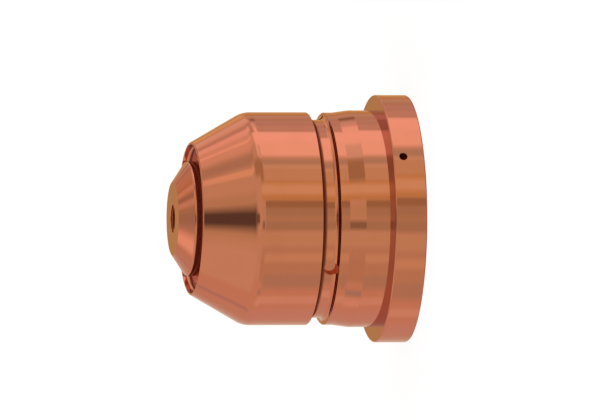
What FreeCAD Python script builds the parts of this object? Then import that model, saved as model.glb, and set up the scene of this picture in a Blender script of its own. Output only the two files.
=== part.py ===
"""Plasma torch nozzle: one turned copper piece.

The axis is +Z and the tip points up. The origin is the centre of the flange's back face.
All sizes are in millimetres. Angles round the axis start at +X and grow towards +Y.
"""
import FreeCAD, Part

import math
import os

# Flange and rear band
FLANGE_DIAMETER = 25.58
FLANGE_THICKNESS = 3.31
BAND_DIAMETER = 22.40
BAND_LENGTH = 2.75
RAMP_LENGTH = 1.66
LAND_DIAMETER = 21.94
LAND_WIDTH = 0.93
LAND_EDGE_CHAMFER = 0.08

# Sealing groove
GROOVE_WIDTH = 1.84
GROOVE_FLOOR_DIAMETER = 20.48
GROOVE_CORNER_CHAMFER = 0.38

# Barrel and main cone
BARREL_DIAMETER = 22.00
BARREL_LENGTH = 6.58
SHOULDER_BLEND_RADIUS = 2.70
CONE_HALF_ANGLE = 29.9
RIM_DIAMETER = 15.73
RIM_LIP_WIDTH = 0.20
RIM_EDGE_CHAMFER = 0.08

# Relief ring round the tip
RELIEF_DEPTH = 0.77
RELIEF_WALL_DRAFT = 8.0
RELIEF_CORNER_RADIUS = 0.40

# Tip
NECK_DIAMETER = 11.82
NECK_EDGE_CHAMFER = 0.15
TIP_STANDOFF = 1.87
TIP_HALF_ANGLE = 56.0
TIP_FACE_DIAMETER = 7.60

# Arc passage, from the tip to the rear
EXIT_DIAMETER = 2.92
EXIT_DEPTH = 0.24
ORIFICE_DIAMETER = 2.50
ORIFICE_LENGTH = 3.40
INLET_HALF_ANGLE = 52.0
BORE_DIAMETER = 13.00
SEAT_DIAMETER = 19.50
SEAT_DEPTH = 4.00
SEAT_CHAMFER = 0.40

# Flat-bottomed pockets in the groove's floor
POCKET_COUNT = 3
POCKET_DIAMETER = 1.50
POCKET_DEPTH = 0.45
POCKET_FROM_REAR_WALL = 0.70
POCKET_START_ANGLE = 0.0

# Small radial holes through the flange
VENT_COUNT = 3
VENT_DIAMETER = 0.86
VENT_HEIGHT = 2.21
VENT_START_ANGLE = 60.0

# How far a cutting tool runs past the face that it opens
TOOL_OVERRUN = 1.0


def turned_profile(corners):
    """Closed wire in the XZ half-plane through the given corners.

    A corner is (radius, height), and may add "round" with a radius or "chamfer" with a leg.
    """
    count = len(corners)
    points = [FreeCAD.Vector(corner[0], 0, corner[1]) for corner in corners]
    edges = []
    run_start = None
    first = None
    for i, corner in enumerate(corners):
        here = points[i]
        arrive = here
        leave = here
        edge = None
        if len(corner) > 2:
            to_last = points[i - 1] - here
            to_next = points[(i + 1) % count] - here
            half_turn = to_last.getAngle(to_next) / 2
            trim = corner[3]
            if corner[2] == "round":
                trim = corner[3] / math.tan(half_turn)
            trim = min(trim, 0.45 * to_last.Length, 0.45 * to_next.Length)
            arrive = here + to_last.normalize() * trim
            leave = here + to_next.normalize() * trim
            edge = Part.makeLine(arrive, leave)
            if corner[2] == "round":
                inward = (to_last + to_next).normalize()
                radius = trim * math.tan(half_turn)
                middle = here + inward * (radius / math.sin(half_turn) - radius)
                edge = Part.Arc(arrive, middle, leave).toShape()
        if run_start is None:
            first = arrive
        else:
            edges.append(Part.makeLine(run_start, arrive))
        if edge is not None:
            edges.append(edge)
        run_start = leave
    edges.append(Part.makeLine(run_start, first))
    return Part.Wire(edges)


def radial_tool(diameter, angle, height, inner_radius, outer_radius):
    """Cylinder along a radius of the part, at one angle and one height."""
    direction = FreeCAD.Vector(math.cos(math.radians(angle)), math.sin(math.radians(angle)), 0)
    base = direction * inner_radius + FreeCAD.Vector(0, 0, height)
    return Part.makeCylinder(diameter / 2, outer_radius - inner_radius, base, direction)


def slope(angle):
    """Radius gained for each millimetre along the axis on a cone of this half-angle."""
    return math.tan(math.radians(angle))


flange_radius = FLANGE_DIAMETER / 2
band_radius = BAND_DIAMETER / 2
land_radius = LAND_DIAMETER / 2
groove_radius = GROOVE_FLOOR_DIAMETER / 2
barrel_radius = BARREL_DIAMETER / 2
rim_radius = RIM_DIAMETER / 2
neck_radius = NECK_DIAMETER / 2
tip_face_radius = TIP_FACE_DIAMETER / 2
exit_radius = EXIT_DIAMETER / 2
orifice_radius = ORIFICE_DIAMETER / 2
bore_radius = BORE_DIAMETER / 2
seat_radius = SEAT_DIAMETER / 2

flange_front = FLANGE_THICKNESS
ramp_foot = flange_front + BAND_LENGTH
ramp_top = ramp_foot + RAMP_LENGTH
groove_rear = ramp_top + LAND_WIDTH
groove_front = groove_rear + GROOVE_WIDTH
shoulder = groove_front + BARREL_LENGTH
rim = shoulder + (barrel_radius - rim_radius) / slope(CONE_HALF_ANGLE)
relief_floor = rim - RELIEF_DEPTH
tip = rim + TIP_STANDOFF
neck_edge = tip - (neck_radius - tip_face_radius) / slope(TIP_HALF_ANGLE)
exit_floor = tip - EXIT_DEPTH
orifice_inlet = exit_floor - ORIFICE_LENGTH
bore_end = orifice_inlet - (bore_radius - orifice_radius) / slope(INLET_HALF_ANGLE)
lip_radius = rim_radius - RIM_LIP_WIDTH
relief_floor_radius = lip_radius - RELIEF_DEPTH * slope(RELIEF_WALL_DRAFT)

profile = turned_profile([
    (exit_radius, tip),
    (tip_face_radius, tip),
    (neck_radius, neck_edge, "chamfer", NECK_EDGE_CHAMFER),
    (neck_radius, relief_floor),
    (relief_floor_radius, relief_floor, "round", RELIEF_CORNER_RADIUS),
    (lip_radius, rim),
    (rim_radius, rim, "chamfer", RIM_EDGE_CHAMFER),
    (barrel_radius, shoulder, "round", SHOULDER_BLEND_RADIUS),
    (barrel_radius, groove_front),
    (groove_radius, groove_front, "chamfer", GROOVE_CORNER_CHAMFER),
    (groove_radius, groove_rear, "chamfer", GROOVE_CORNER_CHAMFER),
    (land_radius, groove_rear, "chamfer", LAND_EDGE_CHAMFER),
    (land_radius, ramp_top),
    (band_radius, ramp_foot),
    (band_radius, flange_front),
    (flange_radius, flange_front),
    (flange_radius, 0),
    (seat_radius + SEAT_CHAMFER, 0),
    (seat_radius, SEAT_CHAMFER),
    (seat_radius, SEAT_DEPTH),
    (bore_radius, SEAT_DEPTH),
    (bore_radius, bore_end),
    (orifice_radius, orifice_inlet),
    (orifice_radius, exit_floor),
    (exit_radius, exit_floor),
])
nozzle = Part.Face(profile).revolve(FreeCAD.Vector(0, 0, 0), FreeCAD.Vector(0, 0, 1), 360)

cutters = []
pocket_height = groove_rear + POCKET_FROM_REAR_WALL
pocket_floor_radius = groove_radius - POCKET_DEPTH
pocket_outer_radius = max(barrel_radius, land_radius) + TOOL_OVERRUN
for i in range(POCKET_COUNT):
    angle = POCKET_START_ANGLE + 360.0 * i / POCKET_COUNT
    cutters.append(
        radial_tool(POCKET_DIAMETER, angle, pocket_height, pocket_floor_radius, pocket_outer_radius)
    )
for i in range(VENT_COUNT):
    angle = VENT_START_ANGLE + 360.0 * i / VENT_COUNT
    cutters.append(
        radial_tool(VENT_DIAMETER, angle, VENT_HEIGHT, seat_radius - TOOL_OVERRUN, flange_radius + TOOL_OVERRUN)
    )
nozzle_body = nozzle.cut(cutters)
if len(nozzle_body.Solids) == 1:
    nozzle_body = nozzle_body.Solids[0]

os.makedirs("parts", exist_ok=True)
nozzle_body.exportStep("parts/nozzle_body.step")
print("volume mm3", round(nozzle_body.Volume, 3), "valid", nozzle_body.isValid())
print("tip height", round(tip, 3), "rim", round(rim, 3), "bore end", round(bore_end, 3))
print("orifice inlet", round(orifice_inlet, 3), "groove rear", round(groove_rear, 3))
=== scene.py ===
"""Plasma torch nozzle, dressed for rendering: one turned copper piece on a pale studio floor."""

import collections
import math

import bmesh
import bpy
from mathutils import Matrix, Vector


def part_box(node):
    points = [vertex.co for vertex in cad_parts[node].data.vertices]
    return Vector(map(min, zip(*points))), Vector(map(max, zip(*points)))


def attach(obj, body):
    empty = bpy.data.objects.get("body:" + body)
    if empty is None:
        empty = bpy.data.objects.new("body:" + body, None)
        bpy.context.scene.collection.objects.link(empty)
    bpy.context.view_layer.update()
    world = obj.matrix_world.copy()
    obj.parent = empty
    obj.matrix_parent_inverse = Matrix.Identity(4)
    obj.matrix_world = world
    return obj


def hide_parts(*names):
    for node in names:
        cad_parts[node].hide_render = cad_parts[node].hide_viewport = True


bl_info = {
    "name": "Plasma Torch Nozzle",
    "version": (1, 0, 0),
    "blender": (4, 5, 0),
    "location": "View3D > Sidebar > Nozzle",
    "description": "Builds a turned copper plasma torch nozzle and its studio",
    "category": "Object",
}

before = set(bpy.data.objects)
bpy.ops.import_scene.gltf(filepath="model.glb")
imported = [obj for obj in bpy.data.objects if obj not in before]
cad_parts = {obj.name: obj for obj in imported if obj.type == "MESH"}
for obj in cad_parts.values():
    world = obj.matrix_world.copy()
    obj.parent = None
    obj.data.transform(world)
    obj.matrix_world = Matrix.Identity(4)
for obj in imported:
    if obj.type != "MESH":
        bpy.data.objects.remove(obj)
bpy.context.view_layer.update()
high_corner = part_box("nozzle_body")[1]

MM = 0.001
NOZZLE_LENGTH = high_corner.z
FLANGE_RADIUS = high_corner.x

# How finely the piece is turned and drilled
SPIN_STEPS = 256
HOLE_SEGMENTS = 64
SHARP_ANGLE = math.radians(32)
TOOL_OVERRUN = 1.0 * MM
SAME_PLACE = 0.001 * MM

# Where painted shade and painted dark reflections darken the copper, each zone measured back from
# the edge or wall that it lies against. EDGE is the width over which it fades out.
PAINTED_SHADE_EDGE = 0.10 * MM
GROOVE_PAINTED_SHADE_WIDTH = 0.38 * MM
GROOVE_PAINTED_SHADE_EDGE = 0.22 * MM
NECK_PAINTED_SHADE_START = 0.75 * MM
NECK_PAINTED_SHADE_END = 0.19 * MM
NECK_PALE_START = 0.50 * MM
NECK_PALE_END = 0.36 * MM
NECK_PALE_SHARE = 0.45
NECK_PAINTED_SHADE_EDGE = 0.08 * MM
RELIEF_PAINTED_SHADE_START = 0.28 * MM
RELIEF_PAINTED_SHADE_END = 0.10 * MM
RELIEF_PAINTED_SHADE_HEIGHT = 0.25 * MM
RELIEF_PAINTED_SHADE_EDGE = 0.06 * MM
VENT_PAINTED_SHADE_SHARE = 0.7
VENT_MOUTH_EDGE = 0.05 * MM
VENT_WALL_EDGE = 0.01 * MM

# The copper's patterns. A band spans many turning marks. Noise is about NOISE_MIDDLE on average.
MARKS_TO_A_BAND = 14
NOISE_MIDDLE = 0.5
STAIN_SCALE = 260.0
STAIN_START = 0.48
STAIN_CONTRAST = 4.0
STAIN_SHADE = 0.4
STAIN_ROUGHNESS = 0.03
BAND_START = 0.4
BAND_SHADE = 0.3
BAND_ROUGHNESS = 0.02
MARK_ROUGHNESS = 0.03

# The studio. The sensor is measured in millimetres, and the room's directions in degrees.
SENSOR_WIDTH = 36.0
CLIP_REACH = 10
ROOM_SUBDIVISIONS = 5
FLOOR_WHITE_SHARE = 0.8
HALF_TURN = 180.0
IN_DEGREES = HALF_TURN / math.pi
WHITE = (1, 1, 1, 1)


def length(title, text, millimetres):
    """A length property, given in millimetres."""
    return bpy.props.FloatProperty(
        name=title, description=text, default=millimetres * MM, subtype="DISTANCE",
        unit="LENGTH", precision=5
    )


def turn(title, text, degrees):
    """An angle property, given in degrees."""
    return bpy.props.FloatProperty(
        name=title, description=text, default=math.radians(degrees), subtype="ANGLE",
        unit="ROTATION"
    )


def share(title, text, value, top=1.0):
    """A plain number property."""
    return bpy.props.FloatProperty(name=title, description=text, default=value, min=0.0, max=top)


def count(title, text, value):
    """A number of like features, at least one."""
    return bpy.props.IntProperty(name=title, description=text, default=value, min=1)


def tint(title, text, rgb):
    """A colour property."""
    return bpy.props.FloatVectorProperty(
        name=title, description=text, default=rgb, subtype="COLOR", size=3, min=0.0, max=1.0
    )


class NozzleSizes(bpy.types.PropertyGroup):
    """The nozzle's sizes. Heights are measured from the flange's back face."""

    flange_radius: length("Flange radius", "Outer radius of the flange", FLANGE_RADIUS / MM)
    flange_front: length("Flange thickness", "Height of the flange's front face", 3.31)
    band_radius: length("Rear band radius", "Radius of the band in front of the flange", 11.20)
    ramp_foot: length("Ramp foot", "Height at which the rear band starts to narrow", 6.06)
    ramp_top: length("Ramp top", "Height at which the land behind the groove starts", 7.72)
    land_radius: length("Land radius", "Radius of the land behind the groove", 10.97)
    groove_rear: length("Groove rear", "Height of the groove's rear wall", 8.65)
    groove_front: length("Groove front", "Height of the groove's front wall", 10.49)
    groove_radius: length("Groove radius", "Radius of the groove's floor", 10.24)
    groove_corner: length("Groove corner", "Fillet in the groove's corners", 0.55)
    barrel_radius: length("Barrel radius", "Radius of the barrel", 11.0)
    shoulder: length("Shoulder", "Height at which the barrel and the cone would meet", 17.07)
    shoulder_blend: length("Shoulder blend", "Radius between the barrel and the cone", 2.70)
    rim: length("Rim", "Height of the rim round the relief", 22.522)
    rim_radius: length("Rim radius", "Outer radius of that rim", 7.865)
    rim_round: length("Rim rounding", "Rounding of the rim's outer edge", 0.26)
    lip_width: length("Lip width", "Width of the rim's flat lip", 0.20)
    relief_floor: length("Relief floor", "Height of the relief's floor", 21.752)
    relief_radius: length("Relief radius", "Outer radius of the relief's floor", 7.55)
    relief_corner: length("Relief corner", "Fillet in the relief's outer corner", 0.45)
    neck_foot: length("Neck foot", "Fillet at the foot of the neck", 0.15)
    neck_radius: length("Neck radius", "Radius of the tip's neck", 5.91)
    neck_edge: length("Neck edge", "Height at which the neck meets the tip's cone", 22.97)
    neck_round: length("Neck rounding", "Rounding of that edge", 0.30)
    tip_radius: length("Tip radius", "Radius of the tip's flat face", 3.80)
    exit_radius: length("Exit radius", "Radius of the orifice's widened exit", 1.46)
    exit_depth: length("Exit depth", "Depth of the widened exit", 0.24)
    orifice_radius: length("Orifice radius", "Radius of the orifice", 1.25)
    orifice_inlet: length("Orifice inlet", "Height at which the orifice starts", 20.752)
    bore_radius: length("Bore radius", "Radius of the electrode bore", 6.5)
    bore_end: length("Bore end", "Height at which the bore starts to narrow", 16.65)
    seat_radius: length("Seat radius", "Radius of the rear seat", 9.75)
    seat_depth: length("Seat depth", "Depth of the rear seat", 4.0)
    seat_chamfer: length("Seat chamfer", "Chamfer at the seat's mouth", 0.40)
    edge_break: length("Edge break", "Small rounding on the turned edges", 0.07)
    flange_edge: length("Flange edge", "Rounding on the flange's edges", 0.15)
    pocket_radius: length("Pocket radius", "Radius of the pockets in the groove", 0.75)
    pocket_depth: length("Pocket depth", "Depth of the pockets below the groove's floor", 0.45)
    pocket_height: length("Pocket height", "Height of the pockets' axis", 9.35)
    pocket_count: count("Pockets", "Pockets round the groove", 3)
    vent_radius: length("Vent radius", "Radius of the holes through the flange", 0.43)
    vent_height: length("Vent height", "Height of the holes' axis", 2.21)
    vent_count: count("Vents", "Holes round the flange", 3)
    vent_angle: turn("Vent angle", "Angle of the first hole from +X", 60)


class CopperFinish(bpy.types.PropertyGroup):
    """The copper's colours, its polish and its turning marks"""

    color: tint("Copper", "Colour of the bright copper", (0.560, 0.190, 0.090))
    worn_color: tint("Handled copper", "Colour of the slight stains", (0.520, 0.172, 0.080))
    edge_color: tint("Glancing tint", "Tint where the copper is seen aslant", (0.84, 0.80, 0.88))
    # Painted shade: the next three settings lay a dark matt colour into the inner corners, the neck
    # and the vents' walls, where shade and dark reflections fall.
    painted_shade_color: tint("Corner", "Colour of the dull inner corners", (0.110, 0.024, 0.015))
    painted_shade_strength: share("Corner dullness", "How far the inner corners are dulled", 0.85)
    painted_shade_roughness: share("Corner roughness", "Roughness of the dull inner corners", 0.6)
    # Painted light: the orifice's wall is a lighter copper, so that the inside of the hole looks
    # lit.
    orifice_painted_light_color: tint("Orifice", "Colour of the orifice's wall", (0.600, 0.205, 0.090))
    roughness: share("Roughness", "Roughness of the turned surface", 0.055)
    orifice_roughness: share("Orifice roughness", "How much rougher the orifice's wall is", 0.20)
    mark_pitch: length("Turning pitch", "Distance between two turning marks", 0.09)
    mark_depth: length("Turning depth", "Depth of the turning marks", 0.0004)


class StudioLook(bpy.types.PropertyGroup):
    """The camera, the room and the floor"""

    elevation: turn("Elevation", "Camera height above the horizon", 10.0)
    azimuth: turn("Azimuth", "Camera turn round the nozzle from -Y", 0.0)
    view_width: length("View width", "Width of the picture at the nozzle", 62.0)
    lens: bpy.props.FloatProperty(
        name="Lens", description="Focal length in millimetres", default=900.0, min=1.0
    )
    aim_height: length("Aim height", "Height of the point at the picture's centre", 11.036)
    aim_side: length("Aim side", "How far that point lies from the axis", 0.896)
    room_radius: length("Room radius", "How far the room's walls stand from the nozzle", 10000.0)
    floor_size: length("Floor size", "Side of the floor", 4000.0)
    floor_color: tint("Floor", "Colour of the floor", (0.9, 0.9, 0.9))
    floor_level: share("Floor level", "Brightness of the floor's own white", 1.09, 5.0)
    level: share("Level", "Plain level of the studio", 1.0, 5.0)


class Wire:
    """One output of a shader node. Python's operators on it add the Math nodes they stand for."""

    def __init__(self, tree, socket):
        self.tree = tree
        self.socket = socket

    def node(self, kind, settings=None, inputs=None, output=0):
        """Adds a node: its settings first, then the values or links of its sockets."""
        made = self.tree.nodes.new(kind)
        for key, value in (settings or {}).items():
            setattr(made, key, value)
        for key, value in (inputs or {}).items():
            if isinstance(value, Wire):
                self.tree.links.new(value.socket, made.inputs[key])
            else:
                made.inputs[key].default_value = value
        return Wire(self.tree, made.outputs[output]) if made.outputs else made

    def out(self, name):
        """Another output of the same node."""
        return Wire(self.tree, self.socket.node.outputs[name])

    def math(self, operation, *values, clamp=False):
        """A Math node on these values."""
        inputs = dict(enumerate(values))
        return self.node("ShaderNodeMath", {"operation": operation, "use_clamp": clamp}, inputs)

    def __add__(self, other):
        return self.math("ADD", self, other)

    __radd__ = __add__

    def __sub__(self, other):
        return self.math("SUBTRACT", self, other)

    def __rsub__(self, other):
        return self.math("SUBTRACT", other, self)

    def __mul__(self, other):
        return self.math("MULTIPLY", self, other)

    __rmul__ = __mul__

    def __truediv__(self, other):
        return self.math("DIVIDE", self, other)

    def __rtruediv__(self, other):
        return self.math("DIVIDE", other, self)

    def __abs__(self):
        return self.math("ABSOLUTE", self)

    def clamped(self):
        """The value, kept between 0 and 1."""
        return self.math("ADD", self, 0.0, clamp=True)

    def mix(self, first, second, factor):
        """A colour between two colours, which are the node's inputs 6 and 7 and its output 2."""
        return self.node(
            "ShaderNodeMix", {"data_type": "RGBA"}, {0: factor, 6: first, 7: second}, output=2
        )


def tree_root(tree):
    """A Wire with no socket yet, to add the first nodes of a tree."""
    tree.nodes.clear()
    return Wire(tree, None)


def rgba(color):
    """A colour with its alpha."""
    return (*color, 1.0)


def inside(value, low, high, edge):
    """1 between two places, falling to 0 over a short edge outside them."""
    return ((value - low) / edge + 1.0).clamped() * ((high - value) / edge + 1.0).clamped()


def painted_shade_mask(radius, z, s):
    """Where shade and dark reflections are painted: the groove's and the relief's far corners, the
    neck and the vents' walls.
    """
    groove_floor = s.groove_radius - s.pocket_depth
    near_floor = inside(radius, groove_floor, s.groove_radius + s.groove_corner, PAINTED_SHADE_EDGE)
    front = inside(z, s.groove_front - GROOVE_PAINTED_SHADE_WIDTH, s.groove_front, GROOVE_PAINTED_SHADE_EDGE)
    neck = inside(radius, s.neck_radius - s.edge_break, s.neck_radius + s.neck_foot, PAINTED_SHADE_EDGE)
    wall = inside(z, s.neck_edge - NECK_PAINTED_SHADE_START, s.neck_edge - NECK_PAINTED_SHADE_END, NECK_PAINTED_SHADE_EDGE)
    paler = inside(z, s.neck_edge - NECK_PALE_START, s.neck_edge - NECK_PALE_END, NECK_PAINTED_SHADE_EDGE)
    relief_start = s.relief_radius - RELIEF_PAINTED_SHADE_START
    relief_end = s.relief_radius - RELIEF_PAINTED_SHADE_END
    far_corner = inside(radius, relief_start, relief_end, RELIEF_PAINTED_SHADE_EDGE)
    lowest = inside(z, s.relief_floor, s.relief_floor + RELIEF_PAINTED_SHADE_HEIGHT, RELIEF_PAINTED_SHADE_EDGE)
    flange = inside(
        radius, s.seat_radius + s.edge_break, s.flange_radius - s.edge_break, VENT_MOUTH_EDGE
    )
    vents = inside(z, s.vent_height - s.vent_radius, s.vent_height + s.vent_radius, VENT_WALL_EDGE)
    turned = front * near_floor + neck * (wall - paler * NECK_PALE_SHARE) + far_corner * lowest
    return (turned + vents * flange * VENT_PAINTED_SHADE_SHARE).clamped()


def copper_material(finish, s):
    """Bright turned copper with faint turning marks, painted shade and dark reflections in the
    inner corners, a lighter painted orifice wall and slight stains.
    """
    material = bpy.data.materials.new("copper")
    material.use_nodes = True
    root = tree_root(material.node_tree)
    place = root.node("ShaderNodeTexCoord").out("Object")
    axes = root.node("ShaderNodeSeparateXYZ", inputs={0: place})
    x, y, z = axes.out("X"), axes.out("Y"), axes.out("Z")
    radius = root.math("SQRT", x * x + y * y)
    along = z - radius
    ring_place = root.node("ShaderNodeCombineXYZ", inputs={0: along / finish.mark_pitch})
    rings = root.node(
        "ShaderNodeTexNoise",
        inputs={"Vector": ring_place, "Scale": 1.0, "Detail": 2.0, "Roughness": 0.6},
    )
    band_width = MARKS_TO_A_BAND * finish.mark_pitch
    band_place = root.node("ShaderNodeCombineXYZ", inputs={0: along / band_width})
    bands = root.node(
        "ShaderNodeTexNoise", inputs={"Vector": band_place, "Scale": 1.0, "Detail": 3.0}
    )
    stain = root.node(
        "ShaderNodeTexNoise",
        inputs={"Vector": place, "Scale": STAIN_SCALE, "Detail": 5.0, "Roughness": 0.55},
    )
    stain_mask = ((stain - STAIN_START) * STAIN_CONTRAST).clamped()
    shade = (stain_mask * STAIN_SHADE + (bands - BAND_START) * BAND_SHADE).clamped()
    color = root.mix(rgba(finish.color), rgba(finish.worn_color), shade)
    deep = inside(z, s.orifice_inlet, NOZZLE_LENGTH, s.edge_break)
    orifice = inside(radius, 0.0, s.exit_radius, s.edge_break) * deep
    # Painted light: a lighter copper on the orifice's wall, so that the hole looks lit inside. Its
    # extra roughness below is real finish.
    color = root.mix(color, rgba(finish.orifice_painted_light_color), orifice)
    marks_rough = (rings - NOISE_MIDDLE) * MARK_ROUGHNESS + (bands - NOISE_MIDDLE) * BAND_ROUGHNESS
    rough = stain_mask * STAIN_ROUGHNESS + marks_rough + finish.roughness
    rough = rough + orifice * finish.orifice_roughness
    bump = root.node(
        "ShaderNodeBump", inputs={"Strength": 1.0, "Distance": finish.mark_depth, "Height": rings}
    )
    bright = root.node(
        "ShaderNodeBsdfPrincipled",
        inputs={
            "Base Color": color, "Metallic": 1.0, "Roughness": rough, "Normal": bump,
            "Specular Tint": rgba(finish.edge_color),
        },
    )
    # Painted shade and painted dark reflections: a dark matt colour, mixed in where shade and dark
    # reflections fall.
    shaded = root.node(
        "ShaderNodeBsdfPrincipled",
        inputs={
            "Base Color": rgba(finish.painted_shade_color), "Roughness": finish.painted_shade_roughness,
            "Specular IOR Level": 0.0,
        },
    )
    # Painted shade: how much of the dark matt colour each place gets.
    darkened = painted_shade_mask(radius, z, s) * finish.painted_shade_strength
    mixed = root.node("ShaderNodeMixShader", inputs={0: darkened, 1: bright, 2: shaded})
    root.node("ShaderNodeOutputMaterial", inputs={"Surface": mixed})
    return material


def profile_corners(s):
    """The half section's corners, exit to exit: (radius, height, rounding, arc segments)."""
    tiny = s.edge_break
    return [
        (s.exit_radius, NOZZLE_LENGTH, tiny, 4),
        (s.tip_radius, NOZZLE_LENGTH, tiny, 3),
        (s.neck_radius, s.neck_edge, s.neck_round, 8),
        (s.neck_radius, s.relief_floor, s.neck_foot, 6),
        (s.relief_radius, s.relief_floor, s.relief_corner, 10),
        (s.rim_radius - s.lip_width, s.rim, tiny, 4),
        (s.rim_radius, s.rim, s.rim_round, 6),
        (s.barrel_radius, s.shoulder, s.shoulder_blend, 16),
        (s.barrel_radius, s.groove_front, tiny, 4),
        (s.groove_radius, s.groove_front, s.groove_corner, 10),
        (s.groove_radius, s.groove_rear, s.groove_corner, 10),
        (s.land_radius, s.groove_rear, tiny, 4),
        (s.land_radius, s.ramp_top, 0, 0),
        (s.band_radius, s.ramp_foot, 0, 0),
        (s.band_radius, s.flange_front, 0, 0),
        (s.flange_radius, s.flange_front, s.flange_edge, 6),
        (s.flange_radius, 0, s.flange_edge, 6),
        (s.seat_radius + s.seat_chamfer, 0, 0, 0),
        (s.seat_radius, s.seat_chamfer, 0, 0),
        (s.seat_radius, s.seat_depth, 0, 0),
        (s.bore_radius, s.seat_depth, tiny, 4),
        (s.bore_radius, s.bore_end, 0, 0),
        (s.orifice_radius, s.orifice_inlet, 0, 0),
        (s.orifice_radius, NOZZLE_LENGTH - s.exit_depth, 0, 0),
        (s.exit_radius, NOZZLE_LENGTH - s.exit_depth, 0, 0),
    ]


def round_corner(mesh, before, corner, after, rounding, segments):
    """Lays one corner of the half section as an arc of edges, and returns its two end vertices."""
    back = (before - corner).normalized()
    ahead = (after - corner).normalized()
    opening = back.angle(ahead)
    trim = rounding / math.tan(opening / 2)
    first = mesh.verts.new(corner + back * trim)
    if not segments:
        return first, first
    middle = corner + (back + ahead).normalized() * rounding / math.sin(opening / 2)
    axis = (first.co - middle).cross(-back)
    swept = bmesh.ops.spin(
        mesh, geom=[first], cent=middle, axis=axis, angle=math.pi - opening, steps=segments,
        use_merge=False
    )
    return first, swept["geom_last"][0]


def turned_mesh(corners):
    """Spins the half section into a closed mesh, each corner rounded first."""
    mesh = bmesh.new()
    places = [Vector((radius, 0, height)) for radius, height, _, _ in corners]
    ends = []
    for i, (_, _, rounding, segments) in enumerate(corners):
        after = places[(i + 1) % len(places)]
        ends.append(round_corner(mesh, places[i - 1], places[i], after, rounding, segments))
    for i, (first, _) in enumerate(ends):
        mesh.edges.new((ends[i - 1][1], first))
    bmesh.ops.spin(
        mesh, geom=mesh.edges[:], cent=(0, 0, 0), axis=(0, 0, 1), angle=math.tau, steps=SPIN_STEPS,
        use_merge=True
    )
    bmesh.ops.recalc_face_normals(mesh, faces=mesh.faces[:])
    return mesh


def drill(mesh, radius, angle, height, inner, outer):
    """Adds one radial cylinder, to be cut away, to a mesh of cutting tools."""
    made = bmesh.ops.create_cone(
        mesh, cap_ends=True, segments=HOLE_SEGMENTS, radius1=radius, radius2=radius,
        depth=outer - inner
    )
    laid = Matrix.Rotation(math.pi / 2, 4, "Y")
    moved = Matrix.Translation(((inner + outer) / 2, 0, height))
    turned = Matrix.Rotation(angle, 4, "Z")
    bmesh.ops.transform(mesh, matrix=turned @ moved @ laid, verts=made["verts"])


def nozzle_drills(s):
    """The cutting tools for the groove's pockets and the flange's vents."""
    tools = bmesh.new()
    pocket_floor = s.groove_radius - s.pocket_depth
    for i in range(s.pocket_count):
        angle = math.tau * i / s.pocket_count
        outside = s.barrel_radius + TOOL_OVERRUN
        drill(tools, s.pocket_radius, angle, s.pocket_height, pocket_floor, outside)
    for i in range(s.vent_count):
        angle = s.vent_angle + math.tau * i / s.vent_count
        outside = s.flange_radius + TOOL_OVERRUN
        drill(tools, s.vent_radius, angle, s.vent_height, s.seat_radius - TOOL_OVERRUN, outside)
    return tools


def object_from(mesh, name):
    """Turns a bmesh into an object of the scene."""
    data = bpy.data.meshes.new(name)
    mesh.to_mesh(data)
    mesh.free()
    made = bpy.data.objects.new(name, data)
    bpy.context.scene.collection.objects.link(made)
    return made


def corner_normal(vert, face):
    """A face corner's normal: those of the faces joined to it smoothly, each by its area."""
    fan = [face]
    for member in fan:
        for edge in member.edges:
            if edge.smooth and vert in edge.verts:
                fan += [other for other in edge.link_faces if other not in fan]
    return sum((member.normal * member.calc_area() for member in fan), Vector()).normalized()


def shade_turned(data, crisp_heights):
    """Shades the faces smooth, with every real edge sharp, and also the edges at these heights."""
    mesh = bmesh.new()
    mesh.from_mesh(data)
    for face in mesh.faces:
        face.smooth = True
    for edge in mesh.edges:
        crisp = any(
            all(abs(vert.co.z - z) < SAME_PLACE for vert in edge.verts) for z in crisp_heights
        )
        closed = len(edge.link_faces) == 2
        edge.smooth = closed and edge.calc_face_angle() < SHARP_ANGLE and not crisp
    normals = [corner_normal(vert, face) for face in mesh.faces for vert in face.verts]
    mesh.to_mesh(data)
    mesh.free()
    data.normals_split_custom_set(normals)


class NOZZLE_OT_body(bpy.types.Operator):
    """Turns the copper body, drills its pockets and vents, and gives it its finish"""

    bl_idname = "nozzle.body"
    bl_label = "Turned body"

    def execute(self, context):
        s = context.scene.nozzle_sizes
        blank = object_from(turned_mesh(profile_corners(s)), "nozzle")
        cutter = object_from(nozzle_drills(s), "drills")
        cut = blank.modifiers.new("Drilled holes", "BOOLEAN")
        cut.operation = "DIFFERENCE"
        cut.solver = "EXACT"
        cut.object = cutter
        ready = blank.evaluated_get(context.evaluated_depsgraph_get())
        data = bpy.data.meshes.new_from_object(ready)
        blank.modifiers.clear()
        blank.data = data
        data.name = "nozzle"
        bpy.data.objects.remove(cutter)
        shade_turned(data, (s.ramp_foot, s.ramp_top))
        data.materials.clear()
        data.materials.append(copper_material(context.scene.copper_finish, s))
        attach(blank, "root")
        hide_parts("nozzle_body")
        return {"FINISHED"}


Panel = collections.namedtuple("Panel", "name azimuth height half_width half_height edge color")

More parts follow.
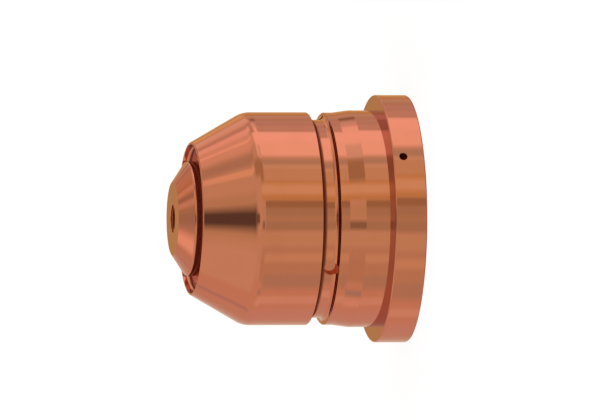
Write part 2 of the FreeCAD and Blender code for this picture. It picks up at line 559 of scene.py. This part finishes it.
# The room round the nozzle, in degrees. Azimuth 0 is the camera's side and grows towards +X.
# Each panel is laid over the ones before it, and fades out over its edge.
ROOM_COLOR = (0.93, 0.93, 0.94)
PANELS = (
    Panel("left wall", -112, 0, 38, 90, 16, (0.95, 0.83, 0.87)),
    Panel("warm left wall", -162, 0, 27, 50, 18, (0.92, 0.75, 0.57)),
    Panel("left wall light", -99, -10, 6, 12, 6, (1.07, 1.00, 1.14)),
    Panel("left gap", -70, -14, 11, 11, 10, (0.74, 0.76, 0.84)),
    Panel("front left wall", -46, -10, 16, 20, 8, (0.83, 0.80, 0.77)),
    Panel("front left strip", -43, -14, 5, 11, 6, (0.96, 0.97, 0.94)),
    Panel("second left strip", -22, -6, 5, 18, 5, (0.91, 0.94, 0.89)),
    Panel("right wall", 128, 0, 20, 90, 8, (0.84, 0.78, 0.77)),
    Panel("right wall's far side", 144, 0, 10, 90, 8, (0.86, 0.72, 0.50)),
    Panel("warm back wall", 168, 0, 19, 32, 4, (0.84, 0.51, 0.19)),
    Panel("upper back wall", 160, 23, 13, 13, 4, (0.92, 0.77, 0.54)),
    Panel("back wall behind the tip", 179, 13, 11, 7, 4, (0.71, 0.455, 0.17)),
    Panel("low front gap", 3, -14, 16, 11, 5, (0.67, 0.71, 0.67)),
    Panel("front glimmer", 0, -14, 3, 11, 4, (0.76, 0.77, 0.71)),
    Panel("front gap edge", 16, -14, 4, 11, 3, (0.55, 0.52, 0.41)),
    Panel("warm strip flank", 31, -6, 11, 18, 4, (0.90, 0.81, 0.50)),
    Panel("warm strip", 32, -6, 6, 18, 6, (1.08, 1.10, 0.98)),
    Panel("grey strip", 51, -14, 8, 11, 3, (0.94, 0.95, 0.85)),
    Panel("cool line", 58, -14, 2, 11, 2, (0.98, 1.06, 1.07)),
    Panel("gap by the key", 64.5, -14, 3, 11, 4, (0.74, 0.84, 0.90)),
    Panel("key softbox", 90, -6, 18.5, 18, 5, (1.46, 1.41, 1.70)),
    Panel("key's far end", 100, -6, 7, 18, 6, (1.54, 1.42, 1.76)),
    Panel("far line", 115.5, -14, 4.5, 11, 4, (0.92, 0.88, 0.96)),
    Panel("far gap", 136, -14, 3, 11, 4, (0.80, 0.68, 0.52)),
    Panel("middle left light", -103, 0, 5, 6, 8, (1.09, 1.02, 1.18)),
    Panel("left gap line", -87, 2, 4, 5, 6, (0.66, 0.77, 1.00)),
    Panel("middle left wall", -58, 4, 14, 6, 8, (0.80, 0.76, 0.75)),
    Panel("front dark line", -7, 6, 4.5, 5, 5, (0.43, 0.44, 0.43)),
    Panel("upper front light", 8, 7, 7, 6, 5, (0.86, 0.89, 0.80)),
    Panel("upper right gap", 54, 6, 13, 6, 8, (0.60, 0.58, 0.49)),
    Panel("key's upper left edge", 78, 4, 9, 3.5, 4, (1.10, 1.16, 1.34)),
    Panel("key's upper corner", 118, 1, 9, 4, 5, (1.26, 1.13, 1.26)),
    Panel("key's upper far end", 112, 0, 5, 2.5, 4, (1.56, 1.41, 1.70)),
    Panel("far dark line", 135, -3, 3.5, 4, 4, (0.47, 0.37, 0.29)),
    Panel("high left wall", -72, 41, 28, 13, 10, (0.98, 0.98, 1.04)),
    Panel("left shade", -126, 19, 3, 7, 5, (0.75, 0.69, 0.79)),
    Panel("roof strip", 64, 42, 4.5, 9, 4, (1.21, 1.15, 1.14)),
    Panel("roof gap", 80, 37, 8, 10, 8, (0.73, 0.72, 0.76)),
    Panel("high key softbox", 106, 27, 13, 11, 8, (1.13, 1.04, 1.14)),
    Panel("high key line", 106, 28, 2, 9, 3, (1.40, 1.27, 1.44)),
    Panel("side softbox", 120.5, 21, 5, 9, 3, (1.34, 1.20, 1.38)),
    Panel("side gap", 127, 18, 2, 8, 3, (0.93, 0.80, 0.82)),
    Panel("rear key softbox", 139, 12, 7, 8, 4, (1.20, 1.06, 0.97)),
    Panel("warm back glow", 154, 5, 6, 5, 4, (1.12, 0.79, 0.33)),
    Panel("left wall's upper part", -152, 36, 14, 14, 8, (0.90, 0.78, 0.74)),
    Panel("left wall's dark line", -154, 28, 5, 1.5, 2, (0.76, 0.67, 0.60)),
    Panel("rear softbox", -135, 58, 16, 8.5, 9, (1.36, 1.22, 1.38)),
    Panel("ceiling gap", 180, 82, 180, 9, 8, (0.60, 0.59, 0.64)),
    Panel("ceiling warm gap", 152, 40, 18, 22, 8, (0.86, 0.68, 0.55)),
    Panel("ceiling pale bar", 138, 69, 14, 2.5, 3, (0.93, 0.86, 0.96)),
    Panel("ceiling dark bar", 136, 62.5, 12, 2.6, 3, (0.60, 0.53, 0.55)),
    Panel("second ceiling pale bar", 139, 54, 9, 2.5, 3, (1.00, 0.87, 0.90)),
    Panel("second ceiling dark bar", 142, 48, 7, 2, 3, (0.80, 0.61, 0.49)),
    Panel("ceiling dark line", 154, 27.7, 5, 1.8, 1.5, (0.71, 0.52, 0.32)),
    Panel("second ceiling dark line", 162, 16.6, 5, 1.8, 1.5, (0.60, 0.44, 0.25)),
    Panel("grey card", 3, 49, 32, 12, 12, (0.82, 0.84, 0.77)),
    Panel("black card", -0.5, 50, 15, 15, 15, (0.17, 0.17, 0.20)),
    Panel("black card's lower end", 0, 31, 6, 8, 5, (0.28, 0.28, 0.29)),
    Panel("upper right shade", 60, 20, 11, 11, 8, (0.65, 0.61, 0.52)),
    Panel("pale floor", 0, -40, 180, 17, 8, (0.88, 0.78, 0.70)),
    Panel("under the table", 0, -75, 180, 19, 10, (0.42, 0.20, 0.11)),
    Panel("behind the table", 180, -40, 45, 26, 5, (0.45, 0.16, 0.06)),
)


def panel_mask(root, panel, round_angle, height):
    """1 on a panel, falling to 0 over its soft edge."""
    turn_off = abs(root.math("WRAP", round_angle - panel.azimuth, HALF_TURN, -HALF_TURN))
    sides = ((panel.half_width - turn_off) / panel.edge + 0.5).clamped()
    ends = ((panel.half_height - abs(height - panel.height)) / panel.edge + 0.5).clamped()
    return sides * ends


def room_material(look):
    """The room's walls, ceiling, softboxes and cards, each in its own direction from the nozzle."""
    material = bpy.data.materials.new("room")
    material.use_nodes = True
    material.cycles.emission_sampling = "NONE"
    root = tree_root(material.node_tree)
    place = root.node("ShaderNodeTexCoord").out("Object")
    way = root.node("ShaderNodeVectorMath", {"operation": "NORMALIZE"}, {0: place})
    axes = root.node("ShaderNodeSeparateXYZ", inputs={0: way})
    x, y, z = axes.out("X"), axes.out("Y"), axes.out("Z")
    round_angle = root.math("ARCTAN2", x, y * -1.0) * IN_DEGREES
    height = root.math("ARCSINE", z) * IN_DEGREES
    color = rgba(ROOM_COLOR)
    for panel in PANELS:
        color = root.mix(color, rgba(panel.color), panel_mask(root, panel, round_angle, height))
    light = root.node("ShaderNodeEmission", inputs={"Color": color, "Strength": look.level})
    root.node("ShaderNodeOutputMaterial", inputs={"Surface": light})
    return material


def white_rays(root):
    """1 for the camera's rays, and for those that metal and glass send to the background."""
    rays = root.node("ShaderNodeLightPath")
    sent_on = rays.out("Is Glossy Ray") + rays.out("Is Transmission Ray")
    return (rays.out("Is Camera Ray") + sent_on).clamped()


def studio_world():
    """White for the rays that show the background, and the room's plain colour for the rest."""
    world = bpy.data.worlds.new("studio")
    world.use_nodes = True
    root = tree_root(world.node_tree)
    color = root.mix(rgba(ROOM_COLOR), WHITE, white_rays(root))
    background = root.node("ShaderNodeBackground", inputs={"Color": color})
    root.node("ShaderNodeOutputWorld", inputs={"Surface": background})
    return world


def floor_material(look):
    """Pale matt floor that the camera sees as white, with the nozzle's shadow on it."""
    material = bpy.data.materials.new("pale_floor")
    material.use_nodes = True
    root = tree_root(material.node_tree)
    matt = root.node("ShaderNodeBsdfDiffuse", inputs={"Color": rgba(look.floor_color)})
    white = root.node(
        "ShaderNodeEmission", inputs={"Color": WHITE, "Strength": look.floor_level}
    )
    white_share = white_rays(root) * FLOOR_WHITE_SHARE
    mixed = root.node("ShaderNodeMixShader", inputs={0: white_share, 1: matt, 2: white})
    root.node("ShaderNodeOutputMaterial", inputs={"Surface": mixed})
    return material


class NOZZLE_OT_studio(bpy.types.Operator):
    """Lays the floor, puts the room round it and sets the camera"""

    bl_idname = "nozzle.studio"
    bl_label = "Studio"

    def execute(self, context):
        scene = context.scene
        look = scene.studio_look
        scene.world = studio_world()
        mesh = bmesh.new()
        bmesh.ops.create_grid(mesh, x_segments=1, y_segments=1, size=look.floor_size / 2)
        floor = object_from(mesh, "floor")
        floor.data.materials.append(floor_material(look))
        floor.visible_glossy = False
        mesh = bmesh.new()
        bmesh.ops.create_icosphere(mesh, subdivisions=ROOM_SUBDIVISIONS, radius=look.room_radius)
        room = object_from(mesh, "room")
        room.data.materials.append(room_material(look))
        room.visible_camera = False

        camera = bpy.data.cameras.new("camera")
        camera.type = "PERSP"
        camera.lens = look.lens
        camera.sensor_width = SENSOR_WIDTH
        stand = bpy.data.objects.new("camera", camera)
        scene.collection.objects.link(stand)
        spin = Matrix.Rotation(look.azimuth, 3, "Z")
        ahead = spin @ Vector((0, math.cos(look.elevation), -math.sin(look.elevation)))
        up = spin @ Vector((1, 0, 0))
        right = ahead.cross(up)
        distance = look.view_width * look.lens / SENSOR_WIDTH
        aim = up * look.aim_side + Vector((0, 0, look.aim_height))
        turned = Matrix((right, up, -ahead)).transposed().to_4x4()
        stand.matrix_world = Matrix.Translation(aim - ahead * distance) @ turned
        camera.clip_end = distance * CLIP_REACH
        scene.camera = stand
        scene.view_settings.view_transform = "Standard"
        return {"FINISHED"}


class NOZZLE_PT_sidebar(bpy.types.Panel):
    """Lists the nozzle's steps and settings"""

    bl_label = "Nozzle"
    bl_idname = "NOZZLE_PT_sidebar"
    bl_space_type = "VIEW_3D"
    bl_region_type = "UI"
    bl_category = "Nozzle"

    def draw(self, context):
        for operator in OPERATORS:
            self.layout.operator(operator.bl_idname)
        for name in GROUPS:
            group = getattr(context.scene, name)
            box = self.layout.box()
            for key in group.__annotations__:
                box.prop(group, key)


OPERATORS = (NOZZLE_OT_body, NOZZLE_OT_studio)
GROUPS = {"copper_finish": CopperFinish, "studio_look": StudioLook, "nozzle_sizes": NozzleSizes}
CLASSES = (*GROUPS.values(), *OPERATORS, NOZZLE_PT_sidebar)


def register():
    """Adds the classes, and hangs the settings on the scene."""
    for item in CLASSES:
        bpy.utils.register_class(item)
    for key, group in GROUPS.items():
        setattr(bpy.types.Scene, key, bpy.props.PointerProperty(type=group))


def unregister():
    """Takes the settings and the classes away again."""
    for key in GROUPS:
        delattr(bpy.types.Scene, key)
    for item in reversed(CLASSES):
        bpy.utils.unregister_class(item)


def main():
    """Builds the nozzle and its studio."""
    register()
    bpy.ops.nozzle.body()
    bpy.ops.nozzle.studio()


if __name__ == "__main__":
    main()
